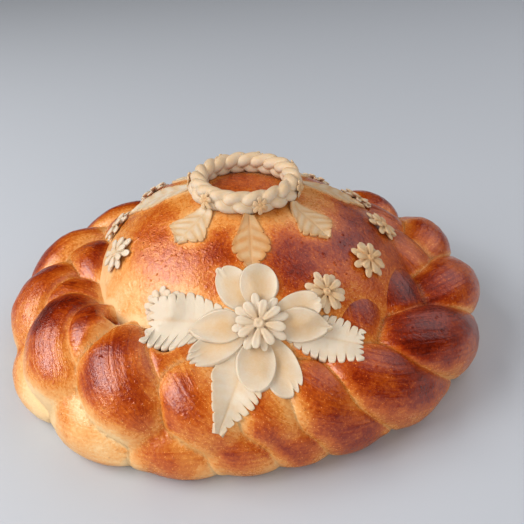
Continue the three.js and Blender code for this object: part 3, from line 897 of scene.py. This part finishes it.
def cut_leaf(
    name, spot, direction, start, length, outline, teeth, cuts, slants, marks, thickness, bridge, toast,
    end_cut=0,
):
    """A leaf with knife cuts along its edges. outline gives its width along it, cuts how deep each
    side is cut, slants how far those cuts lean to the tip, marks how deep the veins are pressed in
    and end_cut how deep its end is cut."""
    steps = len(TOOTH_ROWS)
    rows = teeth * steps
    piece, across, row_share = grid_sheet(name, LEAF_COLUMNS, rows)
    row = np.rint(row_share * rows).astype(int)
    in_tooth = row % steps
    t = np.minimum((row // steps + np.array(TOOTH_ROWS)[in_tooth]) / teeth, 1)
    column = across * (1 - COLUMNS_CLOSER * (1 - np.abs(across)))
    left = column < 0
    varied = 1 + CUT_VARIED * (draw.random((2, rows + 1))[left.astype(int), row] - 0.5)
    half = leaf_spread(t, **outline)
    is_cut = (in_tooth == 0) & (row > 0) & (row < rows)
    room = np.where(is_cut, np.maximum(1 - np.where(left, *cuts) * varied / half, UNCUT), 1)
    side = np.sign(column) * np.minimum(np.abs(column), room - CUT_PITCH * (1 - np.abs(column)))
    tooth = np.minimum((row + 1) // steps, teeth)
    ends = 1 + TEETH_VARIED * (draw.random((2, teeth + 1))[left.astype(int), tooth] - 0.5)
    slant = np.where(left, *slants) * half * np.abs(side) ** LEAN_CURVE
    lean = slant * ramp(t, *LEAN_FROM) * (1 - LEAN_LESS * t)
    from_left = np.rint((across + 1) / 2 * LEAF_COLUMNS).astype(int)
    notch = (from_left % NOTCH_COLUMNS == NOTCH_COLUMNS // 2) * ramp(t, 1 - END_CUT_LENGTH / teeth, 1)
    along = start + length * t + lean - end_cut * notch
    x, y = turned(along, side * half * ends, direction)
    midrib = bell(side, MIDRIB_WIDTH)
    by_cut = np.isin(in_tooth, (0, 1, steps - 1)) & (row > 1) & (row < rows - 1)
    veins = by_cut * ramp(np.abs(side), *VEINS_FROM) * ramp(np.abs(side), *VEINS_TO)
    cupped = CUPPED * np.abs(side) ** CUP_CURVE * (CUP_BASE + t)
    flat = np.stack((x, y, cupped - MIDRIB_DEPTH * midrib - marks * veins), axis=1)
    set_places(piece, lay(flat, spot, bridge) * MM)
    # toasted edges, and darker pressed marks: partly toast, partly painted shade in the grooves
    marked = EDGE_TOASTED * ramp(np.abs(side), *EDGE) + VEINS_TOAST_AND_SHADE * veins
    store(piece, "toast", toast + marks * marked + MIDRIB_TOAST_AND_SHADE * midrib)
    thicken(piece, thickness)
    return piece


for i, (angle, length) in enumerate(zip(CROWN_LEAF_ANGLES, CROWN_LEAF_LENGTHS)):
    leaf = cut_leaf(
        f"crown_leaf_blade_{i + 1}",
        spot_on_dome(CROWN_LEAF_STARTS[i] + length / 2, angle),
        direction=270 + CROWN_LEAF_TURNS[i],
        start=-length / 2,
        length=length,
        outline=dict(CROWN_LEAF_OUTLINE, width=CROWN_LEAF_WIDTHS[i]),
        teeth=5,
        cuts=(3, 3),
        slants=(0.8, 0.8),
        marks=0.22,
        thickness=CROWN_LEAF_THICKNESS,
        bridge=6,
        toast=CROWN_LEAF_TOASTS[i],
    )
    settle_dough(leaf, f"crown_leaf_{i + 1}")


# Small blossoms
# Tiny stars of pale dough pressed against the foot of the wreath between the leaves, and larger
# daisies round the dome. Each has narrow petals like grains of rice, pinched down in the middle.

MINI_ANGLES = (174, 229, 284, 338, 30, 75, 120)
MINI_RADIUS = 5
MINI_TILT = 40  # degrees up from facing straight out
MINI_TOAST = 0.25
MINI_FORM = dict(petals=6, layers=1, petal_width=2.6, petal_height=2.2, voxel=0.22)
DAISY_ANGLES = (173, 200, 237, 299, 328, 2, 30, 57, 86, 115, 144)
DAISY_REACHES = (86, 83, 88, 81, 78, 81, 81, 81, 81, 81, 81)
DAISY_RADIUS = 13
DAISY_FORM = dict(petals=7, layers=2, petal_width=4.2, petal_height=2.6, voxel=0.32)
DAISY_TOAST = 0.02
DAISY_TOASTED = (340, 70, 0.24)  # the daisies round this angle caught more colour
GRAIN_BASE = 0.12  # where petals start, as a share of a blossom's radius
GRAIN_LENGTH = (0.9, 0.1)  # where they end at least, and how much further some go
GRAIN_WIDTH = (0.9, 0.2)  # their share of the width at least, and how much more some have
GRAIN_TAPER = 0.45  # how much wider they get outwards
GRAIN_STRAY = 0.2  # how far some turned aside, as a share of a petal's room
UPPER_SHORTER = 0.14  # how much shorter the upper layer is
UPPER_LIFT = 0.6  # how far it lies above the lower one, in petal heights
UPPER_CURL = 0.35  # and how far its ends stand up
GRAIN_CREASE = (0.4, 0.16)  # how wide and deep they are creased, as shares of their size
BUTTON = 0.17  # the middle's share of the radius
PRESSED = (0.1, 0.25)  # how wide and deep the middle is pressed in, as shares
BLOSSOM_TOASTED = (0.75, 0.15, 0.16)  # towards the middle


def drawn(least, more):
    """A random value, at most so much more than the least."""
    return least + more * draw.random()


def blossom(name, radius, petals, layers, petal_width, petal_height, voxel):
    """A flat blossom: grain-shaped petals in one or two layers, baked together in the middle."""
    grains = []
    for layer in range(layers):
        for i in range(petals):
            outer = radius * drawn(*GRAIN_LENGTH) * (1 - UPPER_SHORTER * layer)
            inner = GRAIN_BASE * radius
            bpy.ops.mesh.primitive_uv_sphere_add(segments=16, ring_count=12)
            grains.append(bpy.context.object)
            x, y, z = get_places(grains[-1]).T
            along = (outer + inner) / 2 + x * (outer - inner) / 2
            side = y * petal_width / 2 * (1 + GRAIN_TAPER * x) * drawn(*GRAIN_WIDTH)
            crease = bell(y, *GRAIN_CREASE) * (z > 0)
            height = (z + 1) / 2 - crease + UPPER_LIFT * layer
            height += UPPER_CURL * layer * (along / radius) ** 2
            turn = 360 * (i + layer / 2 + GRAIN_STRAY * (draw.random() - 0.5)) / petals
            x, y = turned(along, side, turn)
            set_places(grains[-1], np.stack((x, y, petal_height * height), axis=1))
    bpy.ops.mesh.primitive_uv_sphere_add(segments=24, ring_count=12)
    middle = bpy.context.object
    button = (BUTTON * radius, BUTTON * radius, 0.5 * petal_height * layers)
    set_places(middle, get_places(middle) * button + (0, 0, button[2]))
    for grain in grains:
        grain.select_set(True)
    bpy.ops.object.join()
    piece = new_piece(name)
    apply_modifier(piece, "REMESH", mode="VOXEL", voxel_size=voxel)
    apply_modifier(piece, "SMOOTH", factor=0.5, iterations=2)
    bpy.ops.object.shade_smooth()
    return piece


def lay_blossom(model, name, spot, turn, bridge, toast):
    """A copy of a flat blossom, turned and laid on a spot."""
    piece = model.copy()
    piece.data = model.data.copy()
    piece.name = piece.data.name = name
    bpy.context.collection.objects.link(piece)
    flat = get_places(piece)
    radius = np.hypot(flat[:, 0], flat[:, 1])
    size = radius.max()
    flat[:, 2] *= 1 - bell(radius / size, *PRESSED)
    store(piece, "toast", toast + ramp(radius / size, *BLOSSOM_TOASTED))
    x, y = turned(flat[:, 0], flat[:, 1], turn)
    set_places(piece, lay(np.stack((x, y, flat[:, 2]), axis=1), spot, bridge) * MM)
    return piece


star = blossom("star_model", MINI_RADIUS, **MINI_FORM)
rim = WREATH["radius"] + WREATH["rise"] + WREATH["thickness"]
for i, angle in enumerate(MINI_ANGLES):
    x, y = DOME_CENTRE + turned(rim, 0, angle)
    spot = spot_facing((x, y, WREATH["height"]), angle, math.radians(MINI_TILT))
    name = f"mini_star_{i + 1}"
    piece = lay_blossom(star, name, spot, 360 * draw.random(), bridge=12, toast=MINI_TOAST)
    settle_dough(piece, f"mini_blossom_{i + 1}")

daisy = blossom("daisy_model", DAISY_RADIUS, **DAISY_FORM)
for i, (angle, reach) in enumerate(zip(DAISY_ANGLES, DAISY_REACHES)):
    spot = spot_on_dome(reach, angle)
    toast = DAISY_TOAST + nearness(angle, *DAISY_TOASTED)
    name = f"daisy_blossom_{i + 1}"
    piece = lay_blossom(daisy, name, spot, 360 * draw.random(), bridge=10, toast=toast)
    settle_dough(piece, f"daisy_{i + 1}")


# Flower leaves
# Three larger leaves of rolled dough under the flower. Their edges are combed with deep knife
# cuts, and they hang over the valley between the dome and the plait.

FLOWER_REACH = 88
FLOWER_ANGLE = 272
FLOWER_LEAF_FROM = 14  # from the flower's middle, as their lengths are
FLOWER_LEAF_THICKNESS = 2.4
FLOWER_LEAVES = dict(
    left=dict(direction=175, length=59, cuts=(6, 9), slants=(0.05, 0.9), end_cut=5, toast=-0.05),
    right=dict(direction=346, length=56, cuts=(5, 6), slants=(0.1, 0.5), end_cut=4, toast=-0.01),
    below=dict(direction=247, length=58, cuts=(1.2, 7), slants=(0.2, 0.7), end_cut=0, toast=0.06),
)
FLOWER_LEAF_OUTLINES = dict(
    left=dict(width=30, base=0.4, widest=0.6, tip=0.75, fall=1.3),
    right=dict(width=24, base=0.4, widest=0.55, tip=0.6, fall=1.3),
    below=dict(width=28, base=0.5, widest=0.3, tip=0.1, fall=1.3),
)

flower_spot = spot_on_dome(FLOWER_REACH, FLOWER_ANGLE)
for name, leaf in FLOWER_LEAVES.items():
    blade = cut_leaf(
        f"flower_leaf_blade_{name}",
        flower_spot,
        start=FLOWER_LEAF_FROM,
        outline=FLOWER_LEAF_OUTLINES[name],
        teeth=9,
        marks=0.05,
        thickness=FLOWER_LEAF_THICKNESS,
        bridge=60,
        **dict(leaf, length=leaf["length"] - FLOWER_LEAF_FROM),
    )
    settle_dough(blade, f"flower_leaf_{name}")


# Flower petals
# Eight thick petals in two layers, each pressed hollow with a thumb so that its rim stands up.
# The lower four show between the upper four, and some tips are pinched or torn.

PETAL_THICKNESS = 2.6
PETALS = dict(
    north_west=dict(direction=121, length=36, width=18, bulge=0.25, point=0.15, lift=2.2),
    north_east=dict(direction=18, length=35, width=17, bulge=0.15, point=0.1, lift=2.0),
    south_west=dict(direction=205, length=41, width=16, bulge=0.1, point=0.2, lift=2.0),
    south_east=dict(direction=292, length=40, width=19, bulge=0.2, point=0.05, lift=1.6),
    north=dict(direction=88, length=32, width=19, bulge=0.25, point=0.0, lift=2.4),
    west=dict(direction=182, length=36, width=17.5, bulge=0.0, point=0.45, lift=2.2),
    east=dict(direction=355, length=37, width=18.5, bulge=0.05, point=0.4, lift=2.4),
    south=dict(direction=263, length=34, width=20, bulge=0.12, point=0.12, lift=2.2),
)
PETAL_FROM = 4
PETAL_COLUMNS = 30
PETAL_ROWS = 34
PETAL_BASE = 0.75  # share of its width that a petal has at its base
PETAL_WIDENS = (0, 0.5)  # from where to where along it, it gains the rest
PETAL_WAVE = 0.5  # how far its rim goes up and down
PETAL_WAVES = 3
RIM_LIFT = 0.65  # share of a petal's lift at its rim
RIM_RISES = (0.1, 0.6)  # from where to where along it
NICK_WIDTH = 0.07
NICKED = (0.7, 0.97)  # from where to where along a petal
PETAL_TOAST = 0.13
PETAL_MIDDLE_DARKER = (0.5, 0.15)  # darker round its middle
PETAL_RIM_PALE = (0.6, 1, 0.1)
# Where across a tip the dough is cut or pinched out, and how far in, or out if negative.
PETAL_NICKS = dict(
    north_west=((0.22, -1.8), (0.05, 1.2)),
    north_east=((-0.12, 1.4), (0.25, 1.1)),
    south_west=((-0.35, 3.5), (0.02, 4.5), (0.36, 3.0)),
    south_east=((0.12, 4.0), (0.42, 3.6)),
    north=(),
    west=((0.0, -1.2),),
    east=((0.0, -2.4), (-0.22, 0.8)),
    south=((0.1, 0.6),),
)


def petal(name, spot, direction, length, width, bulge, point, lift, nicks):
    """A petal pressed from a disc of dough: bulge widens its outer half, point narrows its tip."""
    piece, x, share = grid_sheet(name, PETAL_COLUMNS, PETAL_ROWS)
    y = 2 * share - 1
    across = x * np.sqrt(1 - y**2 / 2)
    outward = y * np.sqrt(1 - x**2 / 2)
    rim = np.hypot(across, outward)
    t = (outward + 1) / 2
    base = PETAL_BASE + ramp(t, *PETAL_WIDENS, 1 - PETAL_BASE)
    half = width / 2 * (1 + bulge * outward - point * t**3) * base
    along = PETAL_FROM + (length - PETAL_FROM) * t
    for place, depth in nicks:
        along -= bell(across - place, NICK_WIDTH, depth) * ramp(t, *NICKED)
    x, y = turned(along, across * half, direction)
    wave = PETAL_WAVE * np.sin(PETAL_WAVES * np.arctan2(across, outward) + direction)
    flat = np.stack((x, y, (RIM_LIFT * lift + wave) * rim**3 * ramp(t, *RIM_RISES)), axis=1)
    set_places(piece, lay(flat, spot, bridge=60) * MM)
    store(piece, "toast", PETAL_TOAST + bell(rim, *PETAL_MIDDLE_DARKER) - ramp(rim, *PETAL_RIM_PALE))
    thicken(piece, PETAL_THICKNESS)
    return piece


for name, shape in PETALS.items():
    piece = petal(f"flower_petal_leaf_{name}", flower_spot, **shape, nicks=PETAL_NICKS[name])
    settle_dough(piece, f"flower_petal_{name}")


# Flower heart
# A large blossom of narrow petals in two layers, made of the same pale dough as the rest.
# It was pressed down with a stick in the middle, which holds the flower's petals together.

HEART_RADIUS = 16.5
HEART_FORM = dict(petals=8, layers=2, petal_width=4.7, petal_height=3, voxel=0.36)
HEART_TURN = 10
SHADED = 0.14  # browning that the dome lost close to the decorations
SHADED_WIDTH = 6

heart_model = blossom("heart_model", HEART_RADIUS, **HEART_FORM)
heart = lay_blossom(heart_model, "flower_heart_blossom", flower_spot, HEART_TURN, bridge=80, toast=0.02)
settle_dough(heart, "flower_heart")

for model in (star, daisy, heart_model):
    bpy.data.objects.remove(model)

for neighbour in laid[2:]:
    spare_crust(dome, neighbour, SHADED, SHADED_WIDTH)


# Studio
# A plain pale floor, two soft lights at the left, wide light from the front, a weak one from the
# right behind, and the camera at the photograph's angle.

CAMERA_TARGET = Vector((10.18, 6.22, 45)) * MM
CAMERA_DISTANCE = 444.57 * MM
CAMERA_ELEVATION = 31.76
CAMERA_ROLL = -1.5
CAMERA_FIELD = 42
LIGHT_TARGET = Vector((0, 0, 50)) * MM

scene = bpy.context.scene
bpy.ops.mesh.primitive_plane_add(size=8)
floor = new_piece("floor")
floor_material, tree, shader = new_material("pale_floor")
feed(tree, shader, {"Base Color": colour("bdbfc2"), "Roughness": 0.6})
floor.data.materials.append(floor_material)

tilted = Matrix.Rotation(math.radians(90 - CAMERA_ELEVATION), 4, "X")
rolled = Matrix.Rotation(math.radians(CAMERA_ROLL), 4, "Z")
bpy.ops.object.camera_add()
camera = bpy.context.object
camera.matrix_world = (
    Matrix.Translation(CAMERA_TARGET) @ tilted @ rolled @ Matrix.Translation((0, 0, CAMERA_DISTANCE))
)
camera.data.angle = math.radians(CAMERA_FIELD)
camera.data.clip_start = 0.01
scene.camera = camera


def soft_light(name, place, size, power, tint, mirrored=True):
    """An area light that faces the loaf. Light from a room's walls isn't mirrored in the glaze."""
    bpy.ops.object.light_add(type="AREA", location=place)
    light = bpy.context.object
    light.name = name
    light.rotation_euler = (LIGHT_TARGET - light.location).to_track_quat("-Z", "Y").to_euler()
    light.data.size = size
    light.data.energy = power
    light.data.color = colour(tint)[:3]
    light.visible_glossy = mirrored


soft_light("window", (-1.1, 0.0, 1.05), size=0.9, power=13, tint="fcfdff")
soft_light("side window", (-1.0, -0.6, 0.75), size=0.5, power=7, tint="fcfdff")
soft_light("room", (0.5, -2.2, 1.1), size=2.0, power=32, tint="ffffff", mirrored=False)
soft_light("fill", (0.9, 0.6, 1.1), size=1.6, power=8, tint="f6f8ff")

scene.view_settings.view_transform = "Standard"
scene.view_settings.gamma = 0.86
scene.view_settings.exposure = 0.1
world = bpy.data.worlds.new("studio")
scene.world = world
world.use_nodes = True
background = world.node_tree.nodes["Background"]
feed(world.node_tree, background, {"Color": colour("f2f4f8"), "Strength": 0.3})
world.cycles_visibility.glossy = False
